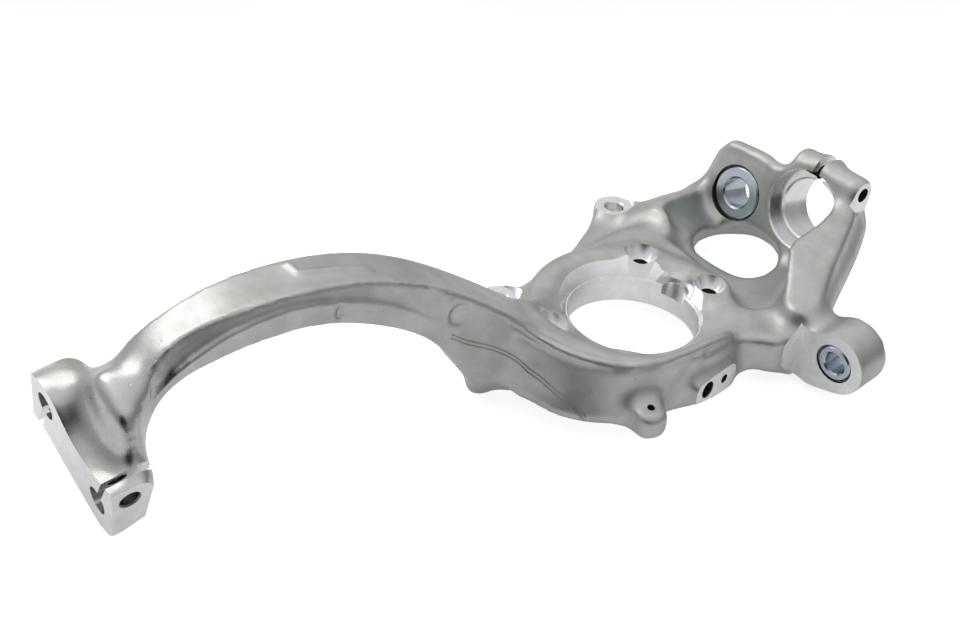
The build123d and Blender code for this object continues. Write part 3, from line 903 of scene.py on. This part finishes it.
HUB_BOLTS = [polar(BOLT_CIRCLE_R, turn) for turn in BOLT_TURNS]
BLANKS = [
    hub_blanks, caliper_blanks, head_blanks, clamp_blanks, eye_blank, sensor_blank, small_boss_blank, lumps,
    arm_blanks, beam_blank,
]
MILLED_TOOLS = [
    hub_tool, hub_face_tool, notch_tool, scoop_tool, head_face_tool, clamp_tool, clamp_slot_tool,
    clamp_seat_tool, eye_face_tool, sensor_face_tool,
    *(pocket_tool(x, y) for x, y in HUB_BOLTS),
    *(caliper_face_tool(x, y) for x, y in CALIPER_BOSSES),
    *(caliper_hole_tool(x, y) for x, y in CALIPER_BOSSES),
    ear_corner_tool,
    *(tool(end) for end in HEAD_ENDS for tool in (head_end_tool, pin_tool, slot_tool)),
]
DRILLED_TOOLS = [
    far_sleeve_tool, near_sleeve_tool, clamp_bolt_tool, sensor_hole_tool, sensor_screw_tool,
    small_boss_tool,
    *(pocket_hole_tool(x, y) for x, y in HUB_BOLTS),
    *(pinch_tool(end) for end in HEAD_ENDS),
]


# Body: the CAD shape filled, given the soft fillets of a forging and its details, then machined again

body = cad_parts["knuckle_body"].copy()
body.data = body.data.copy()
body.name = "knuckle_casting"
body.parent = None
bpy.context.scene.collection.objects.link(body)
filled = bmesh.new()
filled.from_mesh(body.data)
bmesh.ops.remove_doubles(filled, verts=filled.verts, dist=1e-6)
for blank in BLANKS:
    blank(filled)
filled.to_mesh(body.data)
filled.free()

remesh(body, VOXEL)
relax(body, ROUNDS_BEFORE)
for step in FILLET_STEPS:
    displace(body, step)
    remesh(body, VOXEL)
    relax(body, ROUNDS_PER_STEP)
relax(body, ROUNDS_AFTER)
soften(body, NECK_ROUNDS, NECK, NECK_REACH)
settle(body)

for build in (ridge_build, rib_build):
    joined(body, solid(build))
for side in (1, -1):
    cut(body, solid(upper_flank_tool(side)))
    cut(body, solid(lower_flank_tool(side)))
for build in (foot_edge_tool, crescent_tool, groove_tool):
    cut(body, solid(build))
remesh(body, FINE_VOXEL)
relax(body, FINE_ROUNDS)

body.data.materials.clear()
for material in MATERIALS:
    body.data.materials.append(material)
for drop in SEAM_DROPS:
    joined(body, solid(seam_build(drop), CAST))
for build in MILLED_TOOLS:
    cut(body, solid(build))
# The holes cut here get the material that is dark with painted shade
for build in DRILLED_TOOLS:
    cut(body, solid(build, DRILLED))
body.data.validate()
body.data.polygons.foreach_set("use_smooth", [True] * len(body.data.polygons))
body.data.set_sharp_from_angle(angle=math.radians(SHARP_ANGLE))
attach(body, "root")
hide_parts("knuckle_body")

# Sleeves: the CAD pieces as they are, in zinc-plated steel

SLEEVES = ("far_joint_sleeve", "near_joint_sleeve")
zinc = zinc_steel()
for name in SLEEVES:
    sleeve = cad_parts[name]
    sleeve.data.materials.clear()
    sleeve.data.materials.append(zinc)


# White floor

def floor_disc():
    low = min(vertex.co.z for vertex in body.data.vertices)
    place = (*FLOOR_PLACE, low - FLOOR_GAP)
    bpy.ops.mesh.primitive_circle_add(vertices=96, radius=FLOOR_R, fill_type="NGON", location=place)
    return bpy.context.object


def floor_white():
    """The floor's own white for the camera, fainter in reflections. The light on it adds the rest."""
    material, nodes, links = node_material("floor")
    shader = nodes["Principled BSDF"]
    shader.inputs["Base Color"].default_value = FLOOR_COLOR
    shader.inputs["Roughness"].default_value = 0.9
    shader.inputs["Specular IOR Level"].default_value = 0.1
    path = nodes.new("ShaderNodeLightPath")
    glossy, through = path.outputs["Is Glossy Ray"], path.outputs["Is Transmission Ray"]
    reflected = combined(nodes, links, glossy, through, "MAXIMUM")
    spot = nodes.new("ShaderNodeVectorMath")
    spot.operation = "LENGTH"
    links.new(nodes.new("ShaderNodeTexCoord").outputs["Object"], spot.inputs[0])
    start, end = FADE_START * FLOOR_R, FADE_END * FLOOR_R
    own_white = mapped(nodes, links, spot.outputs["Value"], start, end, FLOOR_WHITE, RIM_WHITE)
    shown_white = combined(nodes, links, own_white, path.outputs["Is Camera Ray"], "MULTIPLY")
    reflected_white = mapped(nodes, links, reflected, 0, 1, 0, REFLECTED_WHITE)
    white = nodes.new("ShaderNodeEmission")
    links.new(combined(nodes, links, shown_white, reflected_white, "MAXIMUM"), white.inputs["Strength"])
    total_light = nodes.new("ShaderNodeAddShader")
    links.new(shader.outputs[0], total_light.inputs[0])
    links.new(white.outputs[0], total_light.inputs[1])
    links.new(total_light.outputs[0], nodes["Material Output"].inputs["Surface"])
    return material


floor = floor_disc()
floor.name = "floor"
floor.data.materials.append(floor_white())


# Studio: light from above, dim towards the horizon, with a dark gap low down on the camera's left

def studio():
    world = bpy.data.worlds.new("studio")
    world.use_nodes = True
    nodes, links = world.node_tree.nodes, world.node_tree.links
    ray = nodes.new("ShaderNodeTexCoord").outputs["Generated"]
    split = nodes.new("ShaderNodeSeparateXYZ")
    links.new(ray, split.inputs[0])
    above = mapped(nodes, links, split.outputs["Z"], low=0.25, high=0.92, to_low=0.32, to_high=0.85)
    behind = mapped(nodes, links, split.outputs["Y"], low=-0.2, high=0.9, to_low=0.0, to_high=0.30)
    gap = nodes.new("ShaderNodeVectorMath")
    gap.operation = "DOT_PRODUCT"
    gap.inputs[1].default_value = Vector(SKY_GAP).normalized()
    links.new(ray, gap.inputs[0])
    beside_gap = mapped(nodes, links, gap.outputs["Value"], low=0.74, high=0.94, to_low=1.0, to_high=0.02)
    sky = combined(nodes, links, above, behind, "ADD")
    lit = combined(nodes, links, sky, beside_gap, "MULTIPLY")
    seen = nodes.new("ShaderNodeLightPath").outputs["Is Camera Ray"]
    nodes["Background"].inputs["Color"].default_value = (1, 1, 1, 1)
    links.new(combined(nodes, links, lit, seen, "MAXIMUM"), nodes["Background"].inputs["Strength"])
    return world


def area_light(name, place, target, size, power):
    lamp = bpy.data.lights.new(name, "AREA")
    lamp.shape = "RECTANGLE"
    lamp.size, lamp.size_y = size
    lamp.energy = power
    obj = bpy.data.objects.new(name, lamp)
    bpy.context.scene.collection.objects.link(obj)
    obj.location = place
    obj.rotation_euler = (Vector(target) - Vector(place)).to_track_quat("-Z", "Y").to_euler()


def photo_camera():
    camera_data = bpy.data.cameras.new("camera")
    camera_data.lens = LENS
    camera_data.sensor_width = SENSOR_WIDTH
    camera = bpy.data.objects.new("camera", camera_data)
    bpy.context.scene.collection.objects.link(camera)
    axes = Matrix((Vector(CAMERA_RIGHT), Vector(CAMERA_UP), Vector(CAMERA_BACK)))
    placed = axes.transposed().to_4x4()
    placed.translation = Vector(CAMERA_PLACE)
    camera.matrix_world = placed
    return camera


bpy.context.scene.world = studio()
area_light("key", KEY_PLACE, KEY_TARGET, KEY_SIZE, KEY_POWER)
bpy.context.scene.camera = photo_camera()
bpy.context.scene.view_settings.view_transform = "Standard"

bpy.context.view_layer.update()
corners = [body.matrix_world @ Vector(corner) for corner in body.bound_box]
corners += [Vector(c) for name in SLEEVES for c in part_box(name)]
